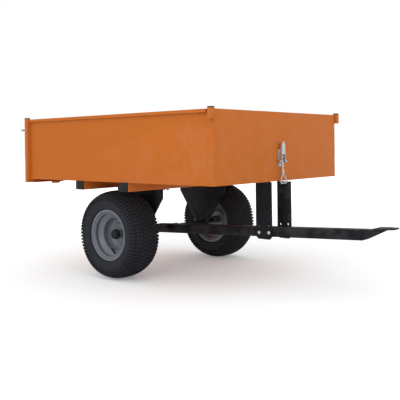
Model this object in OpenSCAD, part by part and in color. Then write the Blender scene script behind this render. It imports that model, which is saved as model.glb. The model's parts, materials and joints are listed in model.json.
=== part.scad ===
// Two-wheeled tow-behind tipping cart, +X towards the hitch, +Y to the cart's left, +Z up.
// The origin is on the ground, under the middle of the whole cart.

/* [Tray] */
// Length of the tray from the front panel to the rear end of the sides
tray_l = 1210; // [1000:5:1500]
// Width of the tray over its side panels
tray_w = 928; // [760:4:1120]
// Height of the panels above the tray's floor
tray_h = 300; // [240:5:400]
// Thickness of the tray's sheet steel
sheet = 2; // [1.5:0.5:3]
// Outer radius of the front panel's upright bends
bend_r = 8; // [6:1:14]
// Length of the front panel's wrap along each side
wrap = 20; // [14:1:40]
// Width of the lip turned out along the top of a side panel
lip_w = 12; // [8:1:18]
// Depth of the lip's outer face
lip_h = 14; // [8:1:20]
// Depth of the rear sill under the floor
sill_h = 17; // [12:1:24]
// Length of the rear sill along the cart
sill_l = 26; // [20:1:40]
// Gap between the closed tailgate and the tray
gate_gap = 0.8; // [0.5:0.1:2]

/* [Corner tubes] */
// Width of the square corner tubes
tube_s = 22; // [18:1:30]
// Wall of the corner tubes
tube_t = 2; // [1.5:0.5:3]
// Length of the short front sockets
socket_h = 44; // [30:1:70]
// Distance that the front sockets reach ahead of the front panel
socket_ahead = 10; // [4:1:16]
// Height of the tubes' tops above the rim
tube_rise = 3; // [0:1:8]
// Thickness of a tube plug's head
plug_t = 5; // [3:1:8]

/* [Tailgate fittings] */
// Outer diameter of the hinge knuckles
knuckle_d = 12; // [10:1:16]
// Diameter of the tailgate's hinge pins
hinge_pin_d = 6; // [5:0.5:8]
// Distance of the knuckles' middle from the tray's side
knuckle_inset = 155; // [100:5:300]
// Length of one hinge, fixed and moving knuckles together
hinge_l = 44; // [36:2:60]
// Diameter of the plungers that lock the tailgate
plunger_d = 8; // [6:0.5:12]
// Depth of the plungers below the rim
plunger_drop = 54; // [40:1:90]
// Stroke of the plungers
plunger_stroke = 14; // [10:1:18]

/* [Wheels] */
// Outer diameter of the tyres
tyre_od = 402; // [360:2:460]
// Width of a tyre over its sidewalls
tyre_w = 166; // [140:2:200]
// Diameter of a rim over its flanges
rim_od = 234; // [226:2:250]
// Diameter of a rim's bead seat
bead_d = 202; // [190:1:214]
// Width of a rim over its flanges
rim_w = 138; // [120:2:150]
// Diameter of a rim's well
well_d = 156; // [130:2:176]
// Distance from a tray side to the middle plane of its wheel
wheel_inset = 104; // [90:1:140]
// Diameter of the axle
axle_d = 16; // [14:1:22]
// Outer diameter of a wheel's hub tube
hub_d = 40; // [34:1:50]
// Length of the hub inboard of the wheel's middle plane
hub_in = 58; // [45:1:75]
// Length of the hub outboard of the wheel's middle plane
hub_out = 20; // [12:1:30]
// Outer diameter of the hub cap
cap_d = 46; // [42:1:56]
// Radial clearance of every turning or sliding fit
fit = 0.05; // [0.02:0.01:0.1]

/* [Frame] */
// Distance of the axle behind the front panel
axle_back = 665; // [560:5:800]
// Height of the tray's underside above the axle
bed_rise = 245; // [230:1:320]
// Width of the drawbar
bar_w = 54; // [44:1:70]
// Height of the drawbar
bar_h = 43; // [38:1:60]
// Wall of the drawbar
bar_t = 3; // [2:0.5:5]
// Slope of the drawbar, rising towards the hitch
bar_rise = 2.9; // [2:0.1:5]
// Depth of the drawbar's middle line below the axle
bar_drop = 11; // [8:0.5:12]
// Length of the drawbar behind the axle
bar_tail = 95; // [40:1:120]
// Distance from the front panel to the tip of the hitch plate
tongue_reach = 522; // [400:2:700]
// Length of the cross beams along the cart
beam_l = 54; // [40:1:70]
// Height of the cross beams
beam_h = 40; // [30:1:60]
// Distance of the cross beams ahead of and behind the axle
beam_out = 151; // [130:1:180]
// Distance of the wheel brackets from the tray's sides
bracket_inset = 238; // [215:1:300]
// Thickness of the wheel brackets and posts
plate_t = 6; // [4:0.5:8]

/* [Hidden] */
$fn = 64;

ORANGE = [0.76, 0.42, 0.15];
BLACK = [0.12, 0.12, 0.13];
ZINC = [0.72, 0.73, 0.74];
GREY = [0.5, 0.53, 0.57];
RUBBER = [0.1, 0.1, 0.105];
BRONZE = [0.66, 0.5, 0.28];

// Heights
axle_z = tyre_od / 2;
bed_z = axle_z + bed_rise;
rim_z = bed_z + tray_h;
plunger_z = rim_z - plunger_drop;

// Places along the cart: the whole cart is centred on the origin
tail_reach = tray_l - axle_back + tube_s;
tip_reach = axle_back + tongue_reach;
axle_x = (tail_reach - tip_reach) / 2;
front_x = axle_x + axle_back;
rear_x = front_x - tray_l;

// Places across the cart
half_w = tray_w / 2;
wheel_y = half_w - wheel_inset;
bracket_y = half_w - bracket_inset;
hub_in_y = wheel_y - hub_in;
hub_out_y = wheel_y + hub_out;
flange_t = 3;
bracket_face_y = bracket_y + plate_t / 2 + flange_t;

// Drawbar, in its own sloping frame with its origin below the axle
slope_s = (tip_reach + bar_h / 2 * sin(bar_rise)) / cos(bar_rise);
sleeve_d = 26;
hitch_overlap = 44;
hitch_l = 82;
hitch_t = 6;
hitch_w = 72;
hitch_tip_w = 46;
hitch_hole_d = 16.5;
hitch_hole_back = 24;
nose_cut = 100;
bar_top_s = slope_s - hitch_l + hitch_overlap;

// Posts that stand on the drawbar, places given from the front panel
support_x = [-121, -37];
latch_post_x = [-47, 24];
post_foot = 11;
post_chamfer = 12;
support_flange = 30;
pad_t = 6;
post_gap = 4;
bolt_d = 8;
hole_d = 9;
bolt_side = 16;
nut_l = 8;
nut_y = -bar_w / 2 + bar_t;
lower_row = -3;
support_spare_row = 24;
latch_spare_row = 30;

// Tailgate hinge and panel
hinge_x = rear_x - 8;
hinge_z = bed_z - sill_h - knuckle_d / 2;
gate_x = rear_x - gate_gap - sheet;
gate_half = half_w - 3;
gate_flange = 17;
plunger_x = rear_x - tube_s / 2;
guide_l = 3;
plunger_out = plunger_stroke + guide_l + 1;

// Latch, places given from the front panel and the tray's underside
latch_y = -16;
base_t = 2.5;
base_w = 34;
lever_x = 15;
lever_z = 86;
swivel_x = 9.5;
swivel_z = 106;
lever_w = 25;
cheek_t = 2.5;
lever_top = 160;
tab_top = 171;
bail_d = 5;
bail_bar_x = 18.5;
bail_bar_z = -9;
bail_half = 24;
bail_apex = 70;
bail_shoulder = 108;
rod_d = 6;
bail_len = sqrt((bail_bar_x - swivel_x) ^ 2 + (swivel_z - bail_bar_z) ^ 2);
bail_tilt = -atan((bail_bar_x - swivel_x) / (swivel_z - bail_bar_z));
nose_x = 10;

// Wheel bracket outline, seen from the side
bracket_half = beam_out + 4;
bracket_straight = 44;
bracket_foot = 34;
bracket_round = 26;

// ---- helpers ----

// A rod along +Y between two places
module rod_y(d, from, to) {
    translate([0, from, 0]) rotate([-90, 0, 0]) cylinder(d = d, h = to - from);
}

// A tube along +Y between two places
module tube_y(od, id, from, to) {
    difference() {
        rod_y(od, from, to);
        rod_y(id, from - 1, to + 1);
    }
}

// A hexagon along +Y between two places, given across its flats
module hex_y(flats, from, to) {
    translate([0, from, 0]) rotate([-90, 0, 0]) cylinder(d = flats / cos(30), h = to - from, $fn = 6);
}

// A box given by its two corners
module span(low, high) {
    translate(low) cube(high - low);
}

// Draws for the left side, or mirrored for the right
module on_side(s) {
    mirror([0, s < 0 ? 1 : 0, 0]) children();
}

// A round bar between two points
module strut(a, b, d) {
    v = b - a;
    len = norm(v);
    translate(a) rotate([0, acos(v.z / len), atan2(v.y, v.x)]) cylinder(d = d, h = len);
}

// Moves to the drawbar's sloping frame
module on_bar() {
    translate([axle_x, 0, axle_z - bar_drop]) rotate([0, -bar_rise, 0]) children();
}

// Height of a row of the drawbar's frame, at a place given from the front panel
function bar_row_z(x, row) =
    axle_z - bar_drop + (axle_back + x) * tan(bar_rise) + row / cos(bar_rise);

// ---- drawbar, axle and posts ----

module drawbar() {
    inner_w = bar_w - 2 * bar_t;
    inner_h = bar_h - 2 * bar_t;
    long = bar_tail + bar_top_s;
    color(BLACK) difference() {
        on_bar() difference() {
            translate([-bar_tail, -bar_w / 2, -bar_h / 2]) cube([long, bar_w, bar_h]);
            translate([-bar_tail - 1, -inner_w / 2, -inner_h / 2]) cube([long + 2, inner_w, inner_h]);
            // slanted cut under the nose
            translate([bar_top_s, 0, bar_h / 2 - 1]) rotate([90, 0, 0])
                linear_extrude(height = bar_w + 2, center = true)
                polygon([[0, 0], [1, 0], [1, -bar_h], [-nose_cut, -bar_h]]);
        }
        translate([axle_x, 0, axle_z]) rod_y(sleeve_d, -bar_w, bar_w);
        post_holes(support_x, [lower_row], -1);
        post_holes(latch_post_x, [lower_row], 1);
    }
}

// Cross holes for one post's bolts, for the rows given, on one side of the bar or on both
module post_holes(at, rows, side = 0) {
    for (row = rows, x = [at[0] + bolt_side, at[1] - bolt_side])
        translate([front_x + x, 0, bar_row_z(x, row)]) rod_y(hole_d, side > 0 ? 0 : -bar_w, side < 0 ? 0 : bar_w);
}

module pivot_sleeve() {
    color(BLACK) translate([axle_x, 0, axle_z])
        tube_y(sleeve_d, axle_d, -bar_w / 2 - 4, bar_w / 2 + 4);
}

axle_end = hub_out_y + 8;
cotter_d = 3;
cotter_y = hub_out_y + 5.7;
washer_t = 2;

module axle() {
    color(BLACK) translate([axle_x, 0, axle_z]) difference() {
        rod_y(axle_d, -axle_end, axle_end);
        for (s = [-1, 1])
            translate([0, s * cotter_y, -axle_d]) cylinder(d = cotter_d, h = 2 * axle_d);
    }
}

// Collars that keep the hubs clear of the wheel brackets
module axle_spacers() {
    color(BLACK) for (s = [-1, 1]) on_side(s) translate([axle_x, 0, axle_z])
        tube_y(axle_d + 8, axle_d, bracket_face_y + 0.5, hub_in_y - flange_t - 0.5);
}

module axle_washers() {
    color(ZINC) for (s = [-1, 1]) on_side(s) translate([axle_x, 0, axle_z])
        tube_y(axle_d + 12, axle_d, hub_out_y + 0.5, hub_out_y + 0.5 + washer_t);
}

module cotter_pins() {
    color(ZINC) for (s = [-1, 1]) translate([axle_x, s * cotter_y, axle_z]) {
        translate([0, 0, -axle_d / 2 - 4]) cylinder(d = cotter_d, h = axle_d + 8);
        translate([0, 0, axle_d / 2 + 4]) sphere(d = cotter_d + 2);
    }
}

module hitch_plate() {
    color(BLACK) on_bar() translate([slope_s - hitch_l, 0, bar_h / 2]) difference() {
        linear_extrude(height = hitch_t)
            polygon([[0, -hitch_w / 2], [hitch_overlap - 6, -hitch_w / 2], [hitch_l, -hitch_tip_w / 2],
                     [hitch_l, hitch_tip_w / 2], [hitch_overlap - 6, hitch_w / 2], [0, hitch_w / 2]]);
        translate([hitch_l - hitch_hole_back, 0, -1]) cylinder(d = hitch_hole_d, h = hitch_t + 2);
    }
}

// A flat post with a chamfered foot, standing on one web of the drawbar
module post_plate(at, top_z) {
    foot_z = bar_row_z((at[0] + at[1]) / 2, -bar_h / 2) - post_foot;
    translate([front_x, 0, 0]) rotate([90, 0, 0])
        linear_extrude(height = plate_t)
        polygon([[at[0], foot_z + post_chamfer], [at[0] + post_chamfer, foot_z],
                 [at[1] - post_chamfer, foot_z], [at[1], foot_z + post_chamfer],
                 [at[1], top_z], [at[0], top_z]]);
}

module support_post() {
    top_z = bed_z - pad_t;
    color(BLACK) difference() {
        union() {
            translate([0, -bar_w / 2, 0]) post_plate(support_x, top_z);
            span([front_x + support_x[0], -bar_w / 2 - support_flange, top_z - 4],
                 [front_x + support_x[1], -bar_w / 2 - plate_t, top_z]);
        }
        post_holes(support_x, [lower_row, support_spare_row]);
    }
}

module latch_post() {
    color(BLACK) difference() {
        translate([0, bar_w / 2 + plate_t, 0]) post_plate(latch_post_x, bed_z - post_gap);
        post_holes(latch_post_x, [lower_row, latch_spare_row]);
    }
}

// Draws its children at each of the four post bolts, turned so +Y points from head to nut
module at_post_bolts() {
    for (post = [[support_x, 1], [latch_post_x, -1]], side = [0, 1]) {
        x = post[0][side] + (side == 0 ? bolt_side : -bolt_side);
        translate([front_x + x, 0, bar_row_z(x, lower_row)]) on_side(post[1]) children();
    }
}

head_y = -bar_w / 2 - plate_t;

module post_bolts() {
    color(ZINC) at_post_bolts() {
        rod_y(bolt_d, head_y, nut_y + nut_l + 2);
        rod_y(13, head_y - 4, head_y);
    }
}

// Captive nuts inside the drawbar
module post_nuts() {
    color(ZINC) at_post_bolts() difference() {
        hex_y(13, nut_y, nut_y + nut_l);
        rod_y(bolt_d, nut_y - 1, nut_y + nut_l + 1);
    }
}

module rest_pad() {
    color(RUBBER) span([front_x + support_x[0] + 6, -bar_w / 2 - support_flange + 1, bed_z - pad_t],
                       [front_x + support_x[1] - 6, -bar_w / 2 - 1, bed_z]);
}

// Arm from the latch post, with a nose that the bail hooks under
module keeper_hook() {
    nose_w = 12;
    color(BLACK) translate([front_x, 0, bed_z]) {
        span([-4, latch_y - nose_w / 2, -16], [4, bar_w / 2, -5]);
        span([1, latch_y - nose_w / 2, -16], [4, latch_y + nose_w / 2, -1]);
        span([4, latch_y - nose_w / 2, -6], [nose_x, latch_y + nose_w / 2, -1]);
        span([nose_x - 3, latch_y - nose_w / 2, -9], [nose_x, latch_y + nose_w / 2, -6]);
    }
}

// ---- tray ----

module tray_floor() {
    color(ORANGE) difference() {
        span([rear_x, -half_w + sheet, bed_z], [front_x - sheet, half_w - sheet, bed_z + sheet]);
        // corner reliefs for the front panel's bends
        for (s = [-1, 1]) on_side(s)
            span([front_x - bend_r, half_w - bend_r, bed_z - 1], [front_x + 1, half_w + 1, bed_z + 2 * sheet]);
    }
}

module front_panel() {
    flat = half_w + sheet - bend_r;
    color(ORANGE) translate([front_x, 0, bed_z]) {
        span([-sheet, -flat, 0], [0, flat, tray_h]);
        span([-lip_w, -flat, tray_h - sheet], [-sheet, flat, tray_h]);
        for (s = [-1, 1]) on_side(s) {
            translate([-bend_r, flat, 0]) linear_extrude(height = tray_h) intersection() {
                difference() {
                    circle(r = bend_r);
                    circle(r = bend_r - sheet);
                }
                square(bend_r + 1);
            }
            span([-bend_r - wrap, half_w, 0], [-bend_r, half_w + sheet, tray_h]);
        }
    }
}

module side_panel(s) {
    lip_front = front_x - bend_r - wrap;
    color(ORANGE) on_side(s) {
        span([rear_x, half_w - sheet, bed_z], [front_x - bend_r, half_w, rim_z]);
        span([rear_x, half_w, rim_z - sheet], [lip_front, half_w + lip_w, rim_z]);
        span([rear_x, half_w + lip_w - sheet, rim_z - lip_h], [lip_front, half_w + lip_w, rim_z - sheet]);
        span([rear_x, half_w, bed_z], [rear_x + sheet, half_w + tube_s - 2, rim_z - sheet]);
    }
}

module side_panel_near() side_panel(-1);
module side_panel_far() side_panel(1);

module rear_sill() {
    color(ORANGE) difference() {
        span([rear_x, -half_w, bed_z - sill_h], [rear_x + sill_l, half_w, bed_z]);
        span([rear_x + sheet, -half_w - 1, bed_z - sill_h + sheet],
             [rear_x + sill_l + 1, half_w + 1, bed_z - sheet]);
    }
}

beam_end = half_w - 1;

module cross_beam(x) {
    t = 2.5;
    color(ORANGE) difference() {
        span([x - beam_l / 2, -beam_end, bed_z - beam_h], [x + beam_l / 2, beam_end, bed_z]);
        span([x - beam_l / 2 + t, -half_w, bed_z - beam_h + t], [x + beam_l / 2 - t, half_w, bed_z - t]);
        for (s = [-1, 1], dx = [-1, 1])
            translate([x + dx * bolt_inset, s * bolt_y, bed_z - beam_h - 1]) cylinder(d = bolt_d + 1, h = t + 2);
    }
}

module cross_beam_front() cross_beam(axle_x + beam_out);
module cross_beam_rear() cross_beam(axle_x - beam_out);

module beam_plugs() {
    t = 2.5;
    color(BLACK) for (s = [-1, 1], x = [axle_x - beam_out, axle_x + beam_out]) on_side(s) {
        span([x - beam_l / 2, beam_end, bed_z - beam_h], [x + beam_l / 2, beam_end + plug_t, bed_z]);
        difference() {
            span([x - beam_l / 2 + t, beam_end - 18, bed_z - beam_h + t],
                 [x + beam_l / 2 - t, beam_end, bed_z - t]);
            span([x - beam_l / 2 + 2 * t, beam_end - 19, bed_z - beam_h + 2 * t],
                 [x + beam_l / 2 - 2 * t, beam_end - 2, bed_z - 2 * t]);
        }
    }
}

// Bolts that hold the brackets' flanges under the beams
bracket_flange = 40;
bolt_inset = 14;
bolt_y = bracket_y - plate_t / 2 - 20;
bush_d = axle_d + 8;

module bracket(s) {
    top = bed_rise - beam_h;
    color(BLACK) on_side(s) difference() {
        translate([axle_x, 0, axle_z]) union() {
            translate([0, bracket_y + plate_t / 2, 0]) rotate([90, 0, 0]) linear_extrude(height = plate_t)
                union() {
                    polygon([[-bracket_half, top], [-bracket_half, top - bracket_straight],
                             [-bracket_foot, -bracket_round / 2], [bracket_foot, -bracket_round / 2],
                             [bracket_half, top - bracket_straight], [bracket_half, top]]);
                    circle(r = bracket_round);
                }
            span([-bracket_half, bracket_y - plate_t / 2 - bracket_flange, top - plate_t / 2],
                 [bracket_half, bracket_y - plate_t / 2, top]);
        }
        translate([axle_x, 0, axle_z]) rod_y(bush_d, 0, half_w);
        for (x = [-1, 1], dx = [-1, 1])
            translate([axle_x + x * beam_out + dx * bolt_inset, bolt_y, axle_z + top - 10])
                cylinder(d = bolt_d + 1, h = 20);
    }
}

module bracket_near() bracket(-1);
module bracket_far() bracket(1);

// Flanged bushes in the brackets, in which the axle turns as the tray tips
module bracket_bushes() {
    color(RUBBER) for (s = [-1, 1]) on_side(s) translate([axle_x, 0, axle_z]) difference() {
        union() {
            rod_y(bush_d, bracket_y - plate_t / 2, bracket_y + plate_t / 2);
            rod_y(bush_d + 8, bracket_y + plate_t / 2, bracket_face_y);
            rod_y(bush_d + 8, bracket_y - plate_t / 2 - flange_t, bracket_y - plate_t / 2);
        }
        rod_y(axle_d + 2 * fit, 0, half_w);
    }
}

module bracket_bolts() {
    under = bed_z - beam_h - plate_t / 2;
    color(ZINC) for (s = [-1, 1], x = [-1, 1], dx = [-1, 1])
        translate([axle_x + x * beam_out + dx * bolt_inset, s * bolt_y, under]) {
            translate([0, 0, -5.5]) cylinder(d = 13 / cos(30), h = 5.5, $fn = 6);
            cylinder(d = bolt_d, h = plate_t / 2 + 2.5);
            translate([0, 0, plate_t / 2 + 2.5]) cylinder(d = 13 / cos(30), h = 6.5, $fn = 6);
        }
}

// A square upright tube in a corner, given by its inner front corner and its ends
module corner_tube(x, y, low, high) {
    difference() {
        span([x - tube_s, y, low], [x, y + tube_s, high]);
        span([x - tube_s + tube_t, y + tube_t, low - 1], [x - tube_t, y + tube_s - tube_t, high + 1]);
    }
}

socket_x = front_x + socket_ahead;
tube_top = rim_z + tube_rise;

module corner_sockets() {
    color(ORANGE) for (s = [-1, 1]) on_side(s)
        corner_tube(socket_x, half_w + sheet, tube_top - socket_h, tube_top);
}

module rear_post(s) {
    color(ORANGE) on_side(s) difference() {
        corner_tube(rear_x, half_w, bed_z - sill_h, tube_top);
        translate([plunger_x, 0, plunger_z]) rod_y(plunger_d + 2 * fit, half_w - 1, half_w + tube_s + 1);
    }
}

module rear_post_near() rear_post(-1);
module rear_post_far() rear_post(1);

// Pressed-in plugs on the four corner tubes
module tube_plugs() {
    stem = 12;
    color(BLACK) for (s = [-1, 1], at = [[socket_x, half_w + sheet], [rear_x, half_w]]) on_side(s)
        translate([at[0] - tube_s, at[1], tube_top]) {
            cube([tube_s, tube_s, plug_t - 2]);
            translate([2, 2, plug_t - 2]) cube([tube_s - 4, tube_s - 4, 2]);
            translate([tube_t, tube_t, -stem]) cube([tube_s - 2 * tube_t, tube_s - 2 * tube_t, stem]);
        }
}

// Short guide collars on the rear posts, round the plungers
module plunger_guides() {
    outer = half_w + tube_s;
    color(ZINC) for (s = [-1, 1]) on_side(s) translate([plunger_x, 0, plunger_z])
        tube_y(plunger_d + 7, plunger_d + 2 * fit, outer, outer + guide_l);
}

// A spring plunger, drawn back by its stroke at rest
module plunger(s) {
    tip = half_w + 1;
    outer = half_w + tube_s + plunger_out;
    color(ZINC) on_side(s) translate([plunger_x, 0, plunger_z]) {
        rod_y(plunger_d, tip, outer);
        rod_y(plunger_d + 4, outer, outer + 5);
    }
}

module plunger_near() plunger(-1);
module plunger_far() plunger(1);

// ---- tailgate ----

third = hinge_l / 3;

module hinge_fixed_knuckles() {
    color(ORANGE) for (s = [-1, 1]) on_side(s) for (end = [0, 2]) {
        from = half_w - knuckle_inset - hinge_l / 2 + end * third + (end > 0 ? 0.5 : 0);
        to = from + third - 0.5;
        difference() {
            union() {
                translate([hinge_x, 0, hinge_z]) rod_y(knuckle_d, from, to);
                span([hinge_x, from, hinge_z + knuckle_d / 2 - 3],
                     [rear_x + sill_l, to, hinge_z + knuckle_d / 2]);
            }
            translate([hinge_x, 0, hinge_z]) rod_y(hinge_pin_d, from - 1, to + 1);
        }
    }
}

module hinge_pins() {
    color(ZINC) for (s = [-1, 1]) on_side(s) translate([hinge_x, half_w - knuckle_inset, hinge_z]) {
        rod_y(hinge_pin_d, -hinge_l / 2 - 3, hinge_l / 2 + 3);
        rod_y(hinge_pin_d + 4, -hinge_l / 2 - 3, -hinge_l / 2 - 0.5);
    }
}

strap_t = 3;
strap_h = 46;

module hinge_straps() {
    from = half_w - knuckle_inset - third / 2 + 0.5;
    to = from + third - 1;
    color(ORANGE) for (s = [-1, 1]) on_side(s) difference() {
        union() {
            translate([hinge_x, 0, hinge_z]) rod_y(knuckle_d, from, to);
            span([gate_x - strap_t, from, hinge_z], [gate_x, to, bed_z + strap_h]);
        }
        translate([hinge_x, 0, hinge_z]) rod_y(hinge_pin_d + 2 * fit, from - 1, to + 1);
        strap_bolt_holes();
    }
}

module strap_bolt_holes() {
    for (dz = [12, 34])
        translate([gate_x - 20, half_w - knuckle_inset, bed_z + dz]) rotate([0, 90, 0]) cylinder(d = 6, h = 40);
}

module strap_bolts() {
    color(ZINC) for (s = [-1, 1], dz = [12, 34]) on_side(s)
        translate([gate_x, half_w - knuckle_inset, bed_z + dz]) rotate([0, 90, 0]) {
            translate([0, 0, -strap_t]) cylinder(d = 6, h = strap_t + sheet);
            translate([0, 0, -strap_t - 4]) cylinder(d = 10 / cos(30), h = 4, $fn = 6);
        }
}

module tailgate_panel() {
    low = bed_z - sill_h + 2;
    color(ORANGE) difference() {
        union() {
            span([gate_x, -gate_half, low], [gate_x + sheet, gate_half, rim_z - 1]);
            span([gate_x - gate_flange, -gate_half, rim_z - 1 - sheet], [gate_x, gate_half, rim_z - 1]);
            for (s = [-1, 1]) on_side(s)
                span([gate_x - gate_flange, gate_half - sheet, low], [gate_x, gate_half, rim_z - 1 - sheet]);
        }
        translate([plunger_x, 0, plunger_z]) rod_y(plunger_d + 1, -half_w, half_w);
        for (s = [-1, 1]) on_side(s) strap_bolt_holes();
    }
}

// ---- front latch ----

// Moves to the latch: the front panel's face, on the latch's middle plane, at the tray's underside
module at_latch() {
    translate([front_x, latch_y, bed_z]) children();
}

module latch_base() {
    ear_t = 3;
    color(ZINC) at_latch() difference() {
        union() {
            span([0, -base_w / 2, lever_z - 24], [base_t, base_w / 2, lever_z + 52]);
            for (s = [-1, 1]) on_side(s) {
                span([0, base_w / 2 - ear_t, lever_z - 9], [lever_x, base_w / 2, lever_z + 9]);
                translate([lever_x, 0, lever_z]) rod_y(18, base_w / 2 - ear_t, base_w / 2);
            }
        }
        translate([lever_x, 0, lever_z]) rod_y(7, -base_w, base_w);
    }
}

module latch_rivets() {
    color(ZINC) at_latch() for (y = [-9, 9], z = [lever_z - 19, lever_z + 47])
        translate([base_t, y, z]) rotate([0, 90, 0]) cylinder(d = 7, h = 1.5);
}

// Stub pivots with wide heads, held in the base's ears
module lever_pivots() {
    color(ZINC) at_latch() for (s = [-1, 1]) on_side(s) translate([lever_x, 0, lever_z]) {
        rod_y(7, lever_w / 2 - cheek_t, base_w / 2);
        rod_y(10, base_w / 2, base_w / 2 + 9);
    }
}

module latch_lever() {
    color(ZINC) at_latch() difference() {
        union() {
            for (s = [-1, 1]) on_side(s) {
                translate([lever_x, 0, lever_z]) rod_y(16, lever_w / 2 - cheek_t, lever_w / 2);
                span([swivel_x - 5, lever_w / 2 - cheek_t, lever_z + 6], [lever_x + 5, lever_w / 2, lever_top]);
            }
            span([lever_x + 3, -lever_w / 2, swivel_z + 10], [lever_x + 5, lever_w / 2, lever_top]);
            span([lever_x + 3, -lever_w / 2 + 5, lever_top], [lever_x + 5, lever_w / 2 - 5, tab_top]);
        }
        translate([lever_x, 0, lever_z]) rod_y(7 + 2 * fit, -lever_w, lever_w);
        translate([swivel_x, 0, swivel_z]) rod_y(6, -lever_w, lever_w);
    }
}

module bail_swivel_pin() {
    color(ZINC) at_latch() translate([swivel_x, 0, swivel_z]) rod_y(6, -lever_w / 2, lever_w / 2);
}

// Moves to the bail's own frame, hanging from its swivel
module on_bail() {
    at_latch() translate([swivel_x, 0, swivel_z]) rotate([0, bail_tilt, 0]) children();
}

module bail_rod() {
    color(ZINC) on_bail() difference() {
        union() {
            rod_y(12, -6, 6);
            translate([0, 0, -bail_apex]) cylinder(d = rod_d, h = bail_apex);
        }
        rod_y(6 + 2 * fit, -7, 7);
    }
}

module bail_nuts() {
    color(ZINC) on_bail() for (z = [26, 38]) translate([0, 0, -z - 7]) difference() {
        cylinder(d = 13 / cos(30), h = 7, $fn = 6);
        translate([0, 0, -1]) cylinder(d = rod_d, h = 9);
    }
}

module bail_loop() {
    apex = [0, 0, -bail_apex];
    ring_r = rod_d / 2;
    color(ZINC) on_bail() difference() {
        union() {
            translate([0, 0, -bail_apex - 2]) cylinder(d = rod_d + 5, h = 12);
            for (s = [-1, 1]) on_side(s) {
                strut(apex, [0, bail_half, -bail_shoulder], bail_d);
                translate([0, bail_half, -bail_shoulder]) sphere(d = bail_d + 1);
                strut([0, bail_half, -bail_shoulder], [0, bail_half - 7, -bail_len], bail_d);
                translate([0, bail_half - 7, -bail_len]) sphere(d = bail_d + 1);
            }
            translate([0, 0, -bail_len]) rod_y(bail_d, -bail_half + 7, bail_half - 7);
        }
        translate([0, 0, -bail_apex]) cylinder(r = ring_r, h = 20);
    }
}

// ---- wheels ----

// Moves to a wheel's middle, with +Z pointing outboard
module at_wheel(s) {
    translate([axle_x, s * wheel_y, axle_z]) rotate([s > 0 ? -90 : 90, 0, 0]) children();
}

// Sidewall and crown of the tyre as a smooth outline, from bead to bead
function tyre_side(r_mid, r_bead, w_mid, w_bead) =
    [for (a = [90:-15:15]) [r_mid - (r_mid - r_bead) * sin(a), w_bead + (w_mid - w_bead) * cos(a)]];
function tyre_crown(r_mid, r_top, w_mid, squareness) =
    [for (a = [0:10:80]) [r_mid + (r_top - r_mid) * pow(sin(a), 2 / squareness), w_mid * pow(cos(a), 2 / squareness)]];
function mirrored(points) = [for (i = [len(points) - 1:-1:0]) [points[i][0], -points[i][1]]];

rim_t = 3;

module tyre(s) {
    wall = 9;
    r_mid = tyre_od / 2 - 51;
    lip_r = rim_od / 2 + 1;
    lip_w = rim_w / 2 - rim_t;
    outer = concat(tyre_side(r_mid, lip_r, tyre_w / 2, lip_w),
                   tyre_crown(r_mid, tyre_od / 2, tyre_w / 2, 2.5));
    inner = concat(tyre_side(r_mid, lip_r + 3, tyre_w / 2 - wall, lip_w - wall),
                   tyre_crown(r_mid, tyre_od / 2 - wall - 2, tyre_w / 2 - wall, 2.5));
    seat = [[bead_d / 2, rim_w / 2 - 2 * rim_t - 0.2]];
    toe = [[bead_d / 2, rim_w / 2 - 20]];
    color(RUBBER) at_wheel(s) rotate_extrude($fn = 96) difference() {
        polygon(concat(seat, outer, [[tyre_od / 2, 0]], mirrored(outer), mirrored(seat)));
        polygon(concat([[bead_d / 2 - 5, rim_w / 2 - 20]], toe, inner, mirrored(inner), mirrored(toe),
                       [[bead_d / 2 - 5, 20 - rim_w / 2]]));
    }
}

module tyre_near() tyre(-1);
module tyre_far() tyre(1);

module rim(s) {
    t = rim_t;
    e = rim_w / 2;
    r = rim_od / 2;
    rb = bead_d / 2;
    rw = well_d / 2;
    half_outer = [[r, e], [r, e - t], [rb, e - 2 * t], [rb, 40], [rw, 28]];
    half_inner = [[rw - t, 29], [rb - t, 42], [rb - t, e - t - 1], [r - t - 1, e]];
    color(GREY) at_wheel(s) difference() {
        rotate_extrude($fn = 96) union() {
            polygon(concat(half_outer, mirrored(half_outer), mirrored(half_inner), half_inner));
            polygon([[hub_d / 2, -10], [hub_d / 2, -7], [44, -7], [58, 1], [rw - t, 1], [rw - t, -2],
                     [59, -2], [45, -10]]);
        }
        on_valve() translate([0, 0, -12]) cylinder(d = 9, h = 20);
    }
}

module rim_near() rim(-1);
module rim_far() rim(1);

// Moves to the valve's hole in the rim's tapered step, with +Z along the stem.
// The valve stands low on the wheel and leans outboard.
valve_angle = -84;
valve_lean = 40;

module on_valve() {
    rotate([0, 0, valve_angle]) translate([well_d / 2 + 8, 0, 34]) rotate([0, -90 + valve_lean, 0])
        children();
}

module valve(s) {
    color(RUBBER) at_wheel(s) on_valve() {
        translate([0, 0, -2]) cylinder(d = 9, h = 2);
        translate([0, 0, 0]) cylinder(d1 = 9, d2 = 7, h = 22);
        translate([0, 0, 22]) cylinder(d = 8, h = 6);
    }
}

module valve_near() valve(-1);
module valve_far() valve(1);

bush_t = 4;
hub_bush_l = 16;

module hub(s) {
    color(GREY) at_wheel(s) difference() {
        translate([0, 0, -hub_in]) cylinder(d = hub_d, h = hub_in + hub_out);
        translate([0, 0, -hub_in - 1]) cylinder(d = axle_d + 2 * bush_t, h = hub_in + hub_out + 2);
    }
}

module hub_near() hub(-1);
module hub_far() hub(1);

// Plain bushes pressed in both ends of the hub
module hub_bushes(s) {
    color(BRONZE) at_wheel(s) difference() {
        union() {
            translate([0, 0, -hub_in]) cylinder(d = axle_d + 2 * bush_t, h = hub_bush_l);
            translate([0, 0, -hub_in - flange_t]) cylinder(d = hub_d - 6, h = flange_t);
            translate([0, 0, hub_out - hub_bush_l]) cylinder(d = axle_d + 2 * bush_t, h = hub_bush_l);
        }
        translate([0, 0, -hub_in - 10]) cylinder(d = axle_d + 2 * fit, h = hub_in + hub_out + 20);
    }
}

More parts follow.
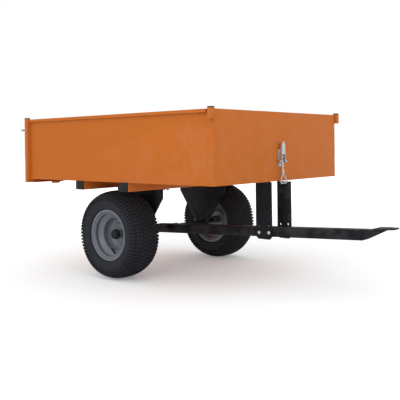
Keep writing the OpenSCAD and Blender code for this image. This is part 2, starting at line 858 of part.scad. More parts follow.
module hub_bushes_near() hub_bushes(-1);
module hub_bushes_far() hub_bushes(1);

module hub_cap(s) {
    wall = 2;
    color(BLACK) at_wheel(s) difference() {
        union() {
            translate([0, 0, hub_out - 6]) cylinder(d = cap_d, h = 16);
            translate([0, 0, hub_out + 10]) cylinder(d1 = cap_d, d2 = cap_d - 8, h = 3);
        }
        translate([0, 0, 1]) cylinder(d = hub_d, h = hub_out + 8 + wall);
    }
}

module hub_cap_near() hub_cap(-1);
module hub_cap_far() hub_cap(1);

drawbar();
pivot_sleeve();
axle();
axle_spacers();
axle_washers();
cotter_pins();
hitch_plate();
support_post();
latch_post();
post_bolts();
post_nuts();
rest_pad();
keeper_hook();
tray_floor();
front_panel();
side_panel_near();
side_panel_far();
rear_sill();
cross_beam_front();
cross_beam_rear();
beam_plugs();
bracket_near();
bracket_far();
bracket_bushes();
bracket_bolts();
corner_sockets();
rear_post_near();
rear_post_far();
tube_plugs();
plunger_guides();
hinge_fixed_knuckles();
hinge_pins();
latch_base();
latch_rivets();
tailgate_panel();
hinge_straps();
strap_bolts();
plunger_near();
plunger_far();
latch_lever();
lever_pivots();
bail_swivel_pin();
bail_rod();
bail_nuts();
bail_loop();
tyre_near();
rim_near();
hub_near();
hub_bushes_near();
hub_cap_near();
valve_near();
tyre_far();
rim_far();
hub_far();
hub_bushes_far();
hub_cap_far();
valve_far();
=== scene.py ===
"""Looks of a two-wheeled tipping garden cart, built round its CAD frame."""

import json
import math

import bmesh
import bpy
from mathutils import Matrix, Vector


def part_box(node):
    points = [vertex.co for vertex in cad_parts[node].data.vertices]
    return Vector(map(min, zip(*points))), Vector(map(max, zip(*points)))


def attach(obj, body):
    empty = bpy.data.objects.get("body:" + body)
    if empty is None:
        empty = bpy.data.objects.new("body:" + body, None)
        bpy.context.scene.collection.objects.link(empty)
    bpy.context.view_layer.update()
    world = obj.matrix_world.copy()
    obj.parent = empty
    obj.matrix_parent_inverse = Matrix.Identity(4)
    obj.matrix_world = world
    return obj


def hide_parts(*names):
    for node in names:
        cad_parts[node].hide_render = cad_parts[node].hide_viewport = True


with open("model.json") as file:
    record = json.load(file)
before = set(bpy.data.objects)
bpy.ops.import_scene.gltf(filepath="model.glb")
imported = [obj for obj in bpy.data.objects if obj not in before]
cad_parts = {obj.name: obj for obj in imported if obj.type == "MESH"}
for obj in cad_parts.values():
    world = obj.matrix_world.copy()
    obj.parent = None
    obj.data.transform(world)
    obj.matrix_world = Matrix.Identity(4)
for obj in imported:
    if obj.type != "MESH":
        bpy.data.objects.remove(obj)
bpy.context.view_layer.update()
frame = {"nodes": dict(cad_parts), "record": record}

bl_info = {
    "name": "Tipping garden cart",
    "version": (1, 0, 0),
    "blender": (4, 5, 0),
    "location": "3D View > Sidebar > Cart",
    "description": "Builds the cart's sheet metal, wheels, latch and fasteners round its CAD frame",
    "category": "Add Mesh",
}

MM = 0.001
SAME_POINT = 1e-6
# Walls of the beams, the corner tubes and the drawbar
BEAM_WALL, POST_WALL, BAR_WALL = 2.5 * MM, 2 * MM, 3 * MM
# The post bolts' domed heads and shanks, and their captive nuts
HEAD_R, HEAD_H = 8.5 * MM, 4 * MM
SHANK_R, SHANK_REACH = 4 * MM, 17 * MM
NUT_FLATS, NUT_H = 13 * MM, 8 * MM
# Rounding of the pieces that have no setting of their own
SMALL_EDGE, LATCH_EDGE, SLEEVE_EDGE = 0.5 * MM, 0.6 * MM, 0.8 * MM
PLUG_EDGE, PAD_EDGE = 1.0 * MM, 1.6 * MM

BODIES = frame["record"]["behaviour"]["bodies"]
BODY_OF = {node: body for body, nodes in BODIES.items() for node in nodes}
SLOT_OF = {part["node"]: part["material_slot"] for part in frame["record"]["subparts"]}
SIDES = {"near": -1, "far": 1}


# ---- places read from the frame ----

def low_high(node):
    """The lowest and highest corner of a CAD node."""
    low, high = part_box(node)
    return Vector(low), Vector(high)


def middle(node):
    low, high = low_high(node)
    return (low + high) / 2


def half_size(node):
    """Half of a CAD node's length, width and height."""
    low, high = low_high(node)
    return (high - low) / 2


AXLE = middle("axle")
WHEEL_Y = middle("tyre_far").y
TYRE_R = half_size("tyre_far").z
TYRE_HALF = half_size("tyre_far").y
RIM_HALF = half_size("rim_far").y
RIM_R = half_size("rim_far").x
HUB_R = half_size("hub_far").x
FRONT_X = low_high("front_panel")[1].x
BED_Z = low_high("tray_floor")[0].z
RIM_Z = low_high("front_panel")[1].z
HALF_W = low_high("tray_floor")[1].y + 2 * MM


# ---- settings that a user would change ----

class CartPaint(bpy.types.PropertyGroup):
    """Colours of the cart's finishes."""

    tray: bpy.props.FloatVectorProperty(
        name="Tray colour", description="Powder coat of the tray and its beams",
        subtype="COLOR", size=3, min=0, max=1, default=(0.575, 0.152, 0.02))
    frame: bpy.props.FloatVectorProperty(
        name="Frame colour", description="Powder coat of the drawbar, posts and brackets",
        subtype="COLOR", size=3, min=0, max=1, default=(0.0088, 0.0096, 0.0135))
    rim: bpy.props.FloatVectorProperty(
        name="Rim colour", description="Paint of the wheel rims",
        subtype="COLOR", size=3, min=0, max=1, default=(0.16, 0.178, 0.208))
    tyre: bpy.props.FloatVectorProperty(
        name="Tyre colour", description="Rubber of the tyres",
        subtype="COLOR", size=3, min=0, max=1, default=(0.0185, 0.020, 0.0255))


class CartTread(bpy.types.PropertyGroup):
    """Sizes of the tyres' tread."""

    count: bpy.props.IntProperty(
        name="Blocks round the tyre", description="Number of tread blocks in each row",
        default=72, min=24, max=90, subtype="UNSIGNED")
    depth: bpy.props.FloatProperty(
        name="Tread depth", description="Height of the tread blocks above the carcass",
        default=7 * MM, min=3 * MM, max=12 * MM, subtype="DISTANCE", unit="LENGTH")
    length: bpy.props.FloatProperty(
        name="Block length", description="Length of a block round the tyre",
        default=12 * MM, min=6 * MM, max=20 * MM, subtype="DISTANCE", unit="LENGTH")


class CartEdges(bpy.types.PropertyGroup):
    """Rounding of the cart's steel."""

    sheet: bpy.props.FloatProperty(
        name="Sheet edge", description="Rounding of the sheet metal's edges",
        default=0.7 * MM, min=0.2 * MM, max=0.9 * MM, subtype="DISTANCE", unit="LENGTH")
    plate: bpy.props.FloatProperty(
        name="Plate edge", description="Rounding of the thick plates' edges",
        default=1.1 * MM, min=0.3 * MM, max=2 * MM, subtype="DISTANCE", unit="LENGTH")
    tube: bpy.props.FloatProperty(
        name="Tube corner", description="Outer corner radius of the square tubes",
        default=3.5 * MM, min=1 * MM, max=6 * MM, subtype="DISTANCE", unit="LENGTH")
    bar: bpy.props.FloatProperty(
        name="Drawbar corner", description="Outer corner radius of the drawbar",
        default=5 * MM, min=2 * MM, max=9 * MM, subtype="DISTANCE", unit="LENGTH")


class CartStudio(bpy.types.PropertyGroup):
    """Light round the cart."""

    sky: bpy.props.FloatProperty(
        name="Sky", description="Strength of the even light from all round",
        default=0.95, min=0, max=2, subtype="FACTOR")
    key: bpy.props.FloatProperty(
        name="Key lamp", description="Power of the large lamp above the front corner",
        default=6, min=0, max=1000, unit="POWER")
    fill: bpy.props.FloatProperty(
        name="Fill lamp", description="Power of the lamp beside the camera",
        default=16, min=0, max=1000, unit="POWER")


# ---- node trees ----

class Wire:
    """One output of a node, with arithmetic that adds Math nodes."""

    def __init__(self, graph, socket):
        self.graph = graph
        self.socket = socket

    def _math(self, operation, *values):
        return self.graph.add("ShaderNodeMath", {"operation": operation}, dict(enumerate(values)))

    def __add__(self, other):
        return self._math("ADD", self, other)

    __radd__ = __add__

    def __sub__(self, other):
        return self._math("SUBTRACT", self, other)

    def __rsub__(self, other):
        return self._math("SUBTRACT", other, self)

    def __mul__(self, other):
        return self._math("MULTIPLY", self, other)

    __rmul__ = __mul__

    def __truediv__(self, other):
        return self._math("DIVIDE", self, other)

    def __pow__(self, other):
        return self._math("POWER", self, other)

    def sibling(self, out):
        """Another output of the same node."""
        return Wire(self.graph, self.socket.node.outputs[out])

    def sin(self):
        return self._math("SINE", self)

    def cos(self):
        return self._math("COSINE", self)


class Graph:
    """A node tree that is filled by add()."""

    def __init__(self, tree):
        self.tree = tree
        tree.nodes.clear()

    def add(self, kind, settings=None, inputs=None, out=0):
        """Adds a node: its settings, then values or wires for its sockets. Returns one output."""
        node = self.tree.nodes.new(kind)
        for name, value in (settings or {}).items():
            if name == "stops":
                self._set_stops(node.color_ramp, value)
            else:
                setattr(node, name, value)
        for key, value in (inputs or {}).items():
            for one in value if isinstance(value, list) else [value]:
                if isinstance(one, Wire):
                    self.tree.links.new(one.socket, node.inputs[key])
                else:
                    node.inputs[key].default_value = one
        return Wire(self, node.outputs[out]) if node.outputs else None

    @staticmethod
    def _set_stops(ramp, stops):
        while len(ramp.elements) < len(stops):
            ramp.elements.new(1)
        for element, (place, level) in zip(ramp.elements, stops):
            element.position = place
            element.color = (level, level, level, 1)


class Finish(Graph):
    """A material's tree, with the patterns that the finishes share."""

    def __init__(self, name):
        self.material = bpy.data.materials.new(name)
        self.material.use_nodes = True
        super().__init__(self.material.node_tree)
        self.place = self.add("ShaderNodeTexCoord", out=3)

    def noise(self, scale, detail=2.0, roughness=0.5, place=None):
        return self.add("ShaderNodeTexNoise", None, {
            "Vector": place or self.place, "Scale": scale, "Detail": detail,
            "Roughness": roughness})

    def stretched(self, x, y, z):
        return self.add("ShaderNodeMapping", None, {"Vector": self.place, "Scale": (x, y, z)})

    def ramp(self, value, *stops):
        return self.add("ShaderNodeValToRGB", {"stops": stops}, {"Fac": value})

    def mix(self, factor, a, b):
        """Mixes two colours."""
        settings = {"data_type": "RGBA", "blend_type": "MIX", "clamp_result": False}
        return self.add("ShaderNodeMix", settings, {0: factor, 6: a, 7: b}, out=2)

    def bump(self, height, strength, distance, below=None):
        inputs = {"Height": height, "Strength": strength, "Distance": distance}
        if below:
            inputs["Normal"] = below
        return self.add("ShaderNodeBump", None, inputs)

    def surface(self, **inputs):
        shader = self.add("ShaderNodeBsdfPrincipled", None,
                          {key.replace("_", " "): value for key, value in inputs.items()})
        self.add("ShaderNodeOutputMaterial", None, {"Surface": shader})
        return self.material


def rgba(colour, gain=1.0):
    return (*(min(1.0, channel * gain) for channel in colour), 1)


# ---- finishes ----

def powder_coat(name, colour, peel, gloss, dust, sheen):
    """Powder coat with orange peel, a slow change of tone, fine dust and pale worn edges."""
    finish = Finish(name)
    slow = finish.noise(2.3, 3)
    cloud = finish.noise(14, 4, 0.6)
    grain = finish.noise(650, 2, 0.6)
    drift = finish.ramp(slow, (0.3, 0.0), (0.7, 1.0))
    tone = finish.mix(drift, rgba(colour, 0.985), rgba(colour, 1.015))
    specks = finish.ramp(finish.noise(210, 3, 0.7), (0.64, 0.0), (0.72, 1.0))
    dusty = finish.mix(specks * dust, tone, (0.5, 0.42, 0.34, 1))
    edge = finish.add("ShaderNodeNewGeometry", out=7)
    worn = (finish.ramp(edge, (0.515, 0.0), (0.60, 1.0))
            * finish.ramp(cloud, (0.42, 0.0), (0.62, 1.0)))
    painted = finish.mix(worn * 0.12, dusty, rgba([0.35 + 0.65 * channel for channel in colour]))
    rough = gloss + 0.03 * cloud + 0.05 * grain
    normal = finish.bump(grain, 0.22, peel, finish.bump(finish.noise(95, 2), 0.10, 3 * peel))
    return finish.surface(Base_Color=painted, Roughness=rough, Normal=normal,
                          Specular_IOR_Level=sheen)


def zinc_plate():
    """Bright zinc plate: faint crystals and fine handling marks."""
    finish = Finish("zinc_plate")
    crystals = finish.add("ShaderNodeTexVoronoi", None,
                          {"Vector": finish.place, "Scale": 420}, out=1)
    level = finish.add("ShaderNodeRGBToBW", None, {"Color": crystals})
    haze = finish.noise(60, 4, 0.65)
    tone = finish.mix(0.5 * level + 0.5 * haze, (0.50, 0.515, 0.54, 1), (0.80, 0.81, 0.82, 1))
    stain = finish.ramp(finish.noise(35, 3), (0.6, 0.0), (0.75, 1.0))
    colour = finish.mix(stain * 0.25, tone, (0.58, 0.52, 0.38, 1))
    rough = 0.24 + 0.16 * haze + 0.08 * level
    marks = finish.noise(900, 2, place=finish.stretched(1, 0.12, 1))
    return finish.surface(Base_Color=colour, Metallic=1.0, Roughness=rough,
                          Normal=finish.bump(marks, 0.15, 0.0001))


def rim_paint(colour):
    """Silver-grey rim paint with a fine metal flake and a little road dust in patches."""
    finish = Finish("rim_paint")
    flake = finish.noise(1500, 1)
    slow = finish.noise(9, 4, 0.6)
    drift = finish.ramp(slow, (0.3, 0.0), (0.7, 1.0))
    tone = finish.mix(drift, rgba(colour, 0.93), rgba(colour, 1.07))
    spark = finish.mix(finish.ramp(flake, (0.58, 0.0), (0.7, 1.0)) * 0.25, tone, rgba(colour, 1.5))
    dust = finish.ramp(finish.noise(140, 4, 0.7), (0.6, 0.0), (0.75, 1.0))
    painted = finish.mix(dust * 0.10, spark, (0.30, 0.27, 0.23, 1))
    rough = 0.34 + 0.12 * slow + 0.06 * flake
    normal = finish.bump(finish.noise(500, 2), 0.15, 0.0002)
    return finish.surface(Base_Color=painted, Metallic=0.35, Roughness=rough, Normal=normal,
                          Coat_Weight=0.15, Coat_Roughness=0.2)


def tyre_rubber(colour):
    """Moulded rubber: turned rings on the sidewall, dry dust on the flats, fine grain all over."""
    finish = Finish("tyre_rubber")
    parts = finish.add("ShaderNodeSeparateXYZ", None, {0: finish.place})
    along = parts - AXLE.x
    up = parts.sibling(2) - AXLE.z
    radius = (along * along + up * up) ** 0.5
    rings = (radius * 2600).sin() * 0.5 + 0.5
    grain = finish.noise(800, 3, 0.7)
    slow = finish.noise(18, 4, 0.6)
    tone = finish.mix(slow, rgba(colour, 0.75), rgba(colour, 1.45))
    dust = finish.ramp(finish.noise(120, 5, 0.75), (0.52, 0.0), (0.78, 1.0))
    dusty = finish.mix(dust * 0.16, tone, (0.08, 0.08, 0.082, 1))
    rough = 0.66 + 0.16 * slow + 0.08 * grain
    normal = finish.bump(grain, 0.35, 0.0003, finish.bump(rings, 0.12, 0.0003))
    return finish.surface(Base_Color=dusty, Roughness=rough, Normal=normal, Specular_IOR_Level=0.28)


def moulded(name, colour, rough_base, grain_size, lift):
    """A black moulding with a fine spark-eroded grain and faint scuffs."""
    finish = Finish(name)
    grain = finish.noise(grain_size, 2, 0.6)
    scuff = finish.ramp(finish.noise(60, 5, 0.7), (0.55, 0.0), (0.8, 1.0))
    tone = finish.mix(scuff * 0.5, rgba(colour), rgba(colour, lift))
    rough = rough_base + 0.12 * scuff + 0.08 * grain
    return finish.surface(Base_Color=tone, Roughness=rough, Normal=finish.bump(grain, 0.3, 0.00015),
                          Specular_IOR_Level=0.22)


def bush_bronze():
    """Sintered bronze, porous and oily."""
    finish = Finish("bush_bronze")
    pores = finish.noise(1400, 2, 0.7)
    oil = finish.noise(50, 3)
    tone = finish.mix(oil, (0.12, 0.085, 0.05, 1), (0.24, 0.17, 0.10, 1))
    return finish.surface(Base_Color=tone, Metallic=1.0, Roughness=0.3 + 0.25 * oil,
                          Normal=finish.bump(pores, 0.3, 0.0001))


MAKERS = {
    "orange_paint": lambda paint: powder_coat(
        "orange_powder_coat", paint.tray, peel=0.00025, gloss=0.42, dust=0.03, sheen=0.14),
    "black_paint": lambda paint: powder_coat(
        "black_powder_coat", paint.frame, peel=0.0003, gloss=0.46, dust=0.015, sheen=0.17),
    "zinc": lambda paint: zinc_plate(),
    "rim_paint": lambda paint: rim_paint(paint.rim),
    "tyre_rubber": lambda paint: tyre_rubber(paint.tyre),
    "black_plastic": lambda paint: moulded("plug_plastic", (0.012, 0.012, 0.013), 0.42, 900, 2.2),
    "soft_rubber": lambda paint: moulded("soft_rubber", (0.016, 0.016, 0.0165), 0.62, 600, 1.9),
    "bronze": lambda paint: bush_bronze(),
}
_made = {}


def finish_of(slot):
    """The material of one of the record's slots, made once."""
    if slot not in _made:
        _made[slot] = MAKERS[slot](bpy.context.scene.cart_paint)
    return _made[slot]


# ---- meshes ----

def link(name, mesh, slot=None):
    obj = bpy.data.objects.new(name, mesh)
    bpy.context.scene.collection.objects.link(obj)
    if slot:
        mesh.materials.clear()
        mesh.materials.append(finish_of(slot))
    return obj


def settled(obj):
    """Turns an object's modifiers into a plain mesh."""
    bpy.context.view_layer.update()
    graph = bpy.context.evaluated_depsgraph_get()
    mesh = bpy.data.meshes.new_from_object(obj.evaluated_get(graph), depsgraph=graph)
    obj.modifiers.clear()
    obj.data = mesh
    return obj


def smooth(obj, angle):
    """Smooth shading, with edges sharper than the angle kept."""
    obj.data.shade_smooth()
    obj.data.set_sharp_from_angle(angle=math.radians(angle))
    return obj


def stands_for(obj, *nodes):
    """Lets a piece replace CAD nodes of one body, riding and finished as they are."""
    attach(obj, BODY_OF[nodes[0]])
    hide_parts(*nodes)
    return obj


def mesh_from(name, verts, faces):
    """A mesh whose doubles are merged and whose faces point outwards."""
    mesh = bpy.data.meshes.new(name)
    mesh.from_pydata([tuple(v) for v in verts], [], faces)
    work = bmesh.new()
    work.from_mesh(mesh)
    bmesh.ops.remove_doubles(work, verts=work.verts, dist=SAME_POINT)
    bmesh.ops.recalc_face_normals(work, faces=work.faces)
    work.to_mesh(mesh)
    work.free()
    return mesh


def merged_copy(node):
    """A copy of a CAD node's mesh with its doubles merged and its flat faces joined up."""
    mesh = frame["nodes"][node].data.copy()
    work = bmesh.new()
    work.from_mesh(mesh)
    bmesh.ops.remove_doubles(work, verts=work.verts, dist=SAME_POINT)
    bmesh.ops.dissolve_limit(work, angle_limit=math.radians(0.5), verts=work.verts,
                             edges=work.edges)
    for face in work.faces:
        face.smooth = False
    work.to_mesh(mesh)
    work.free()
    return mesh


def islands(node):
    """The lowest and highest corners of each separate solid in a CAD node, in a fixed order."""
    work = bmesh.new()
    work.from_mesh(frame["nodes"][node].data)
    bmesh.ops.remove_doubles(work, verts=work.verts, dist=SAME_POINT)
    seen = set()
    boxes = []
    for start in work.verts:
        if start in seen:
            continue
        stack, group = [start], []
        seen.add(start)
        while stack:
            vert = stack.pop()
            group.append(vert.co.copy())
            for edge in vert.link_edges:
                other = edge.other_vert(vert)
                if other not in seen:
                    seen.add(other)
                    stack.append(other)
        boxes.append((Vector(map(min, *group)), Vector(map(max, *group))))
    work.free()
    return sorted(boxes, key=lambda box: tuple(round(c, 4) for c in box[0]))


def rounded_copy(node, width, segments=2):
    """A CAD node's shape with its sharp edges rounded."""
    obj = link("soft_" + node, merged_copy(node), SLOT_OF[node])
    bevel = obj.modifiers.new("edge", "BEVEL")
    bevel.width = width
    bevel.segments = segments
    bevel.limit_method = "ANGLE"
    bevel.angle_limit = math.radians(32)
    bevel.use_clamp_overlap = True
    return stands_for(smooth(settled(obj), 40), node)


def arc_points(centre, radius, start, end, steps):
    """Points on an arc, angles in degrees."""
    for step in range(steps + 1):
        angle = math.radians(start + (end - start) * step / steps)
        yield centre[0] + radius * math.cos(angle), centre[1] + radius * math.sin(angle)


def rounded_path(points, radius, steps=5):
    """A broken line with its inner corners turned into arcs."""
    path = [Vector(points[0])]
    for before, corner, after in zip(points, points[1:], points[2:]):
        corner = Vector(corner)
        back = Vector(before) - corner
        on = Vector(after) - corner
        turn = back.angle(on)
        reach = min(radius / math.tan(turn / 2), 0.48 * back.length, 0.48 * on.length)
        start = corner + back.normalized() * reach
        end = corner + on.normalized() * reach
        for step in range(steps + 1):
            t = step / steps
            path.append(start * (1 - t) ** 2 + corner * (2 * t * (1 - t)) + end * t ** 2)
    path.append(Vector(points[-1]))
    return path


def ribbon(path, thickness):
    """A closed outline of even thickness round a flat path."""
    left, right = [], []
    for i, point in enumerate(path):
        ahead = path[min(i + 1, len(path) - 1)] - path[max(i - 1, 0)]
        normal = Vector((-ahead.y, ahead.x)).normalized() * thickness / 2
        left.append(point + normal)
        right.append(point - normal)
    return left + right[::-1]


def lathe(name, outline, side, steps):
    """Turns an outline of (radius, outboard) points round the axle's line, for one wheel."""
    verts, faces = [], []
    count = len(outline)
    for step in range(steps):
        angle = 2 * math.pi * step / steps
        for radius, outboard in outline:
            verts.append((AXLE.x + radius * math.cos(angle), side * (WHEEL_Y + outboard),
                          AXLE.z + radius * math.sin(angle)))
    for step in range(steps):
        here, there = step * count, (step + 1) % steps * count
        for i in range(count):
            j = (i + 1) % count
            faces.append((here + i, here + j, there + j, there + i))
    return mesh_from(name, verts, faces)


def turned(name, outline, base, direction, steps):
    """Turns an outline of (radius, along) points round a line from base in a direction."""
    turn = Vector(direction).to_track_quat("Z", "Y").to_matrix()
    verts, faces = [], []
    count = len(outline)
    for step in range(steps):
        angle = 2 * math.pi * step / steps
        for radius, along in outline:
            spot = Vector((radius * math.cos(angle), radius * math.sin(angle), along))
            verts.append(Vector(base) + turn @ spot)
    for step in range(steps):
        here, there = step * count, (step + 1) % steps * count
        for i in range(count - 1):
            faces.append((here + i, here + i + 1, there + i + 1, there + i))
    return mesh_from(name, verts, faces)


def merged(name, meshes):
    """Several meshes as one mesh."""
    work = bmesh.new()
    for mesh in meshes:
        work.from_mesh(mesh)
    mesh = bpy.data.meshes.new(name)
    work.to_mesh(mesh)
    work.free()
    return mesh


def joined(name, meshes, slot):
    """Several meshes as one object."""
    return link(name, merged(name, meshes), slot)


def rounded_rectangle(half_a, half_b, radius):
    """Corner points of a rectangle with round corners, once round."""
    corners = [(half_a - radius, half_b - radius, 0), (radius - half_a, half_b - radius, 90),
               (radius - half_a, radius - half_b, 180), (half_a - radius, radius - half_b, 270)]
    steps = 4
    return [point for a, b, start in corners
            for point in arc_points((a, b), radius, start, start + 90, steps)]


def square_tube(name, half_a, half_b, wall, radius, start, end, to_world):
    """An open square tube. start and end give its ends at a point of its section."""
    outer = rounded_rectangle(half_a, half_b, radius)
    inner = rounded_rectangle(half_a - wall, half_b - wall, max(radius - wall, 0.5 * MM))
    count = len(outer)
    lip = 0.4 * MM
    rings = [(outer, start, lip), (outer, end, -lip), (outer, end, 0),
             (inner, end, 0), (inner, start, 0), (outer, start, 0)]
    shrink = [1, 1, 0.985, 1, 1, 0.985]
    verts, faces = [], []
    for (loop, place, shift), scale in zip(rings, shrink):
        for a, b in loop:
            verts.append(to_world(a * scale, b * scale, place(a, b) + shift))
    for ring in range(len(rings)):
        here, there = ring * count, (ring + 1) % len(rings) * count
        for i in range(count):
            j = (i + 1) % count
            faces.append((here + i, here + j, there + j, there + i))
    return mesh_from(name, verts, faces)


# ---- repeated shapes by Geometry Nodes ----

class Repeats(Graph):
    """A Geometry Nodes tree on an object, with named inputs set by their identifiers."""

    def __init__(self, name, values):
        tree = bpy.data.node_groups.new(name, "GeometryNodeTree")
        super().__init__(tree)
        tree.interface.new_socket("Geometry", in_out="INPUT", socket_type="NodeSocketGeometry")
        self.values = {}
        for label, value in values.items():
            kind = {int: "NodeSocketInt", float: "NodeSocketFloat",
                    bpy.types.Object: "NodeSocketObject",
                    bpy.types.Material: "NodeSocketMaterial"}[type(value)]
            socket = tree.interface.new_socket(label, in_out="INPUT", socket_type=kind)
            self.values[socket.identifier] = value
        tree.interface.new_socket("Geometry", in_out="OUTPUT", socket_type="NodeSocketGeometry")
        self.inputs = tree.nodes.new("NodeGroupInput")

    def value(self, label):
        return Wire(self, self.inputs.outputs[label])

    def shape(self, label):
        """The mesh of an object given as an input."""
        return self.add("GeometryNodeObjectInfo", None, {"Object": self.value(label)}, out=4)

    def build(self, obj, geometry):
        """Ends the tree, runs it on an object and leaves a plain mesh."""
        real = self.add("GeometryNodeRealizeInstances", None, {"Geometry": geometry})
        done = self.add("GeometryNodeSetMaterial", None, {
            "Geometry": real, "Material": self.value("Finish")})
        self.add("NodeGroupOutput", None, {0: done})
        modifier = obj.modifiers.new("repeats", "NODES")
        modifier.node_group = self.tree
        for identifier, value in self.values.items():
            modifier[identifier] = value
        return settled(obj)


def template(name, mesh):
    """A hidden shape for a tree to repeat."""
    obj = bpy.data.objects.new(name, mesh)
    bpy.context.scene.collection.objects.link(obj)
    return obj


def discard(obj):
    bpy.data.objects.remove(obj)


def repeated(name, shape_mesh, places, slot, turns):
    """Copies a shape to each place, each with its own turn about X, Y and Z."""
    shape = template(name + "_shape", shape_mesh)
    spots = bpy.data.meshes.new(name)
    spots.from_pydata([tuple(place) for place in places], [], [])
    turn = spots.attributes.new("turn", "FLOAT_VECTOR", "POINT")
    for i, angles in enumerate(turns):
        turn.data[i].vector = angles
    obj = link(name, spots)
    graph = Repeats(name, {"Shape": shape, "Size": 1.0, "Finish": finish_of(slot)})
    angles = graph.add("GeometryNodeInputNamedAttribute", {"data_type": "FLOAT_VECTOR"},
                       {"Name": "turn"})
    copies = graph.add("GeometryNodeInstanceOnPoints", None, {
        "Points": Wire(graph, graph.inputs.outputs[0]), "Instance": graph.shape("Shape"),
        "Rotation": angles, "Scale": graph.value("Size")})
    graph.build(obj, copies)
    discard(shape)
    return smooth(obj, 35)


def hex_nut_mesh(flats, height, bore):
    """A hexagon nut along +Z with chamfered corners and a threaded stub in its bore."""
    corner = flats / math.sqrt(3)
    verts, faces, sides = [], [], 24
    chamfer = 0.06 * flats

    def hex_radius(angle):
        turn = (angle + math.pi / 6) % (math.pi / 3) - math.pi / 6
        return flats / 2 / math.cos(turn)

    rings = [(lambda a: min(hex_radius(a), 0.9 * corner), 0.0), (hex_radius, chamfer)]
    rings += [(hex_radius, height - chamfer), (lambda a: min(hex_radius(a), 0.9 * corner), height),
              (lambda a: bore + 0.8 * MM, height), (lambda a: bore, height - 0.6 * MM)]
    for extra in range(4):
        rings += [(lambda a: bore * 0.93, height + extra * MM),
                  (lambda a: bore, height + (extra + 0.5) * MM)]
    rings += [(lambda a: bore * 0.8, height + 4.6 * MM), (lambda a: 0.0, height + 4.6 * MM)]
    for radius, z in rings:
        for i in range(sides):
            angle = 2 * math.pi * i / sides
            verts.append((radius(angle) * math.cos(angle), radius(angle) * math.sin(angle), z))
    for ring in range(len(rings) - 1):
        for i in range(sides):
            j = (i + 1) % sides
            here, there = ring * sides, (ring + 1) * sides
            faces.append((here + i, here + j, there + j, there + i))
    faces.append(tuple(range(sides - 1, -1, -1)))
    return mesh_from("hex_nut", verts, faces)


def domed_head_mesh(radius, height):
    """A low domed bolt head along +Z with a thin rim."""
    outline = [(0.0, 0.0), (radius, 0.0), (radius, 0.2 * height)]
    outline += [(radius * math.cos(a), height * (0.25 + 0.75 * math.sin(a)))
                for a in (math.pi / 2 * i / 7 for i in range(8))]
    outline[-1] = (0.0, height)
    return turned("domed_head", outline, (0, 0, 0), (0, 0, 1), 28)


# ---- wheels ----

CROWN_POWER = 2.5
CROWN_DROP = 51 * MM


def crown_radius(across, top):
    """Radius of the rounded crown at a distance from the tyre's middle plane."""
    mid = TYRE_R - CROWN_DROP
    share = 1 - (abs(across) / TYRE_HALF) ** CROWN_POWER
    return mid + (top - mid) * max(share, 0) ** (1 / CROWN_POWER)


def carcass_outline(top):
    """Half a tyre's section from the bead to the crown's middle, with the sidewall's ribs."""
    mid = TYRE_R - CROWN_DROP
    lip_r, lip_u = RIM_R + 1 * MM, RIM_HALF - 3 * MM
    bead_r, bead_u = RIM_R - 15 * MM, lip_u - 8 * MM
    points = [(bead_r, bead_u - 6 * MM), (bead_r, bead_u), (lip_r, lip_u)]
    steps = 26
    for step in range(1, steps):
        angle = math.pi / 2 * (1 - step / steps)
        radius = mid - (mid - lip_r) * math.sin(angle)
        across = lip_u + (TYRE_HALF - 2 * MM - lip_u) * math.cos(angle)
        # a rounded guard rib outside the rim's flange and a thin rib higher up
        guard = 1.6 * MM * math.exp(-((radius - lip_r - 6 * MM) / (2.4 * MM)) ** 2)
        rib = 1.0 * MM * math.exp(-((radius - lip_r - 17 * MM) / (1.2 * MM)) ** 2)
        points.append((radius, min(across + guard + rib, TYRE_HALF)))
    for step in range(19):
        angle = math.pi / 2 * step / 18
        across = TYRE_HALF * math.cos(angle) ** (2 / CROWN_POWER)
        points.append((crown_radius(across, top), across if step < 18 else 0.0))
    return points


def carcass(side, top):
    half = carcass_outline(top)
    outline = half + [(radius, -across) for radius, across in half[-2::-1]]
    return lathe("carcass", outline, side, 120)


def tread_block_mesh():
    """A block one unit long and wide, with drafted walls and a softened top, on its base."""
    levels = [(0.50, -0.35), (0.49, 0.2), (0.45, 0.82), (0.40, 1.0)]
    cut = 0.2
    verts, faces = [], []
    for half, z in levels:
        inner = half * (1 - 2 * cut)
        verts += [(half, -inner, z), (half, inner, z), (inner, half, z), (-inner, half, z),
                  (-half, inner, z), (-half, -inner, z), (-inner, -half, z), (inner, -half, z)]
    for level in range(len(levels) - 1):
        for i in range(8):
            j = (i + 1) % 8
            faces.append((level * 8 + i, level * 8 + j, level * 8 + 8 + j, level * 8 + 8 + i))
    faces += [tuple(range(7, -1, -1)), tuple(range(len(verts) - 8, len(verts)))]
    return mesh_from("tread_block", verts, faces)


# Rows of blocks on one half of the crown. Each has its place across and its width, as shares of the
# tyre's half width, its length as a share of the block length, its skew in degrees, and how far it
# starts along the step from one block to the next
TREAD_ROWS = [(0.10, 0.16, 1.0, 32, 0.0), (0.30, 0.17, 1.0, 32, 0.5), (0.50, 0.18, 0.95, 20, 0.0),
              (0.70, 0.22, 0.80, 6, 0.0), (0.925, 0.34, 0.80, 0, 0.0)]


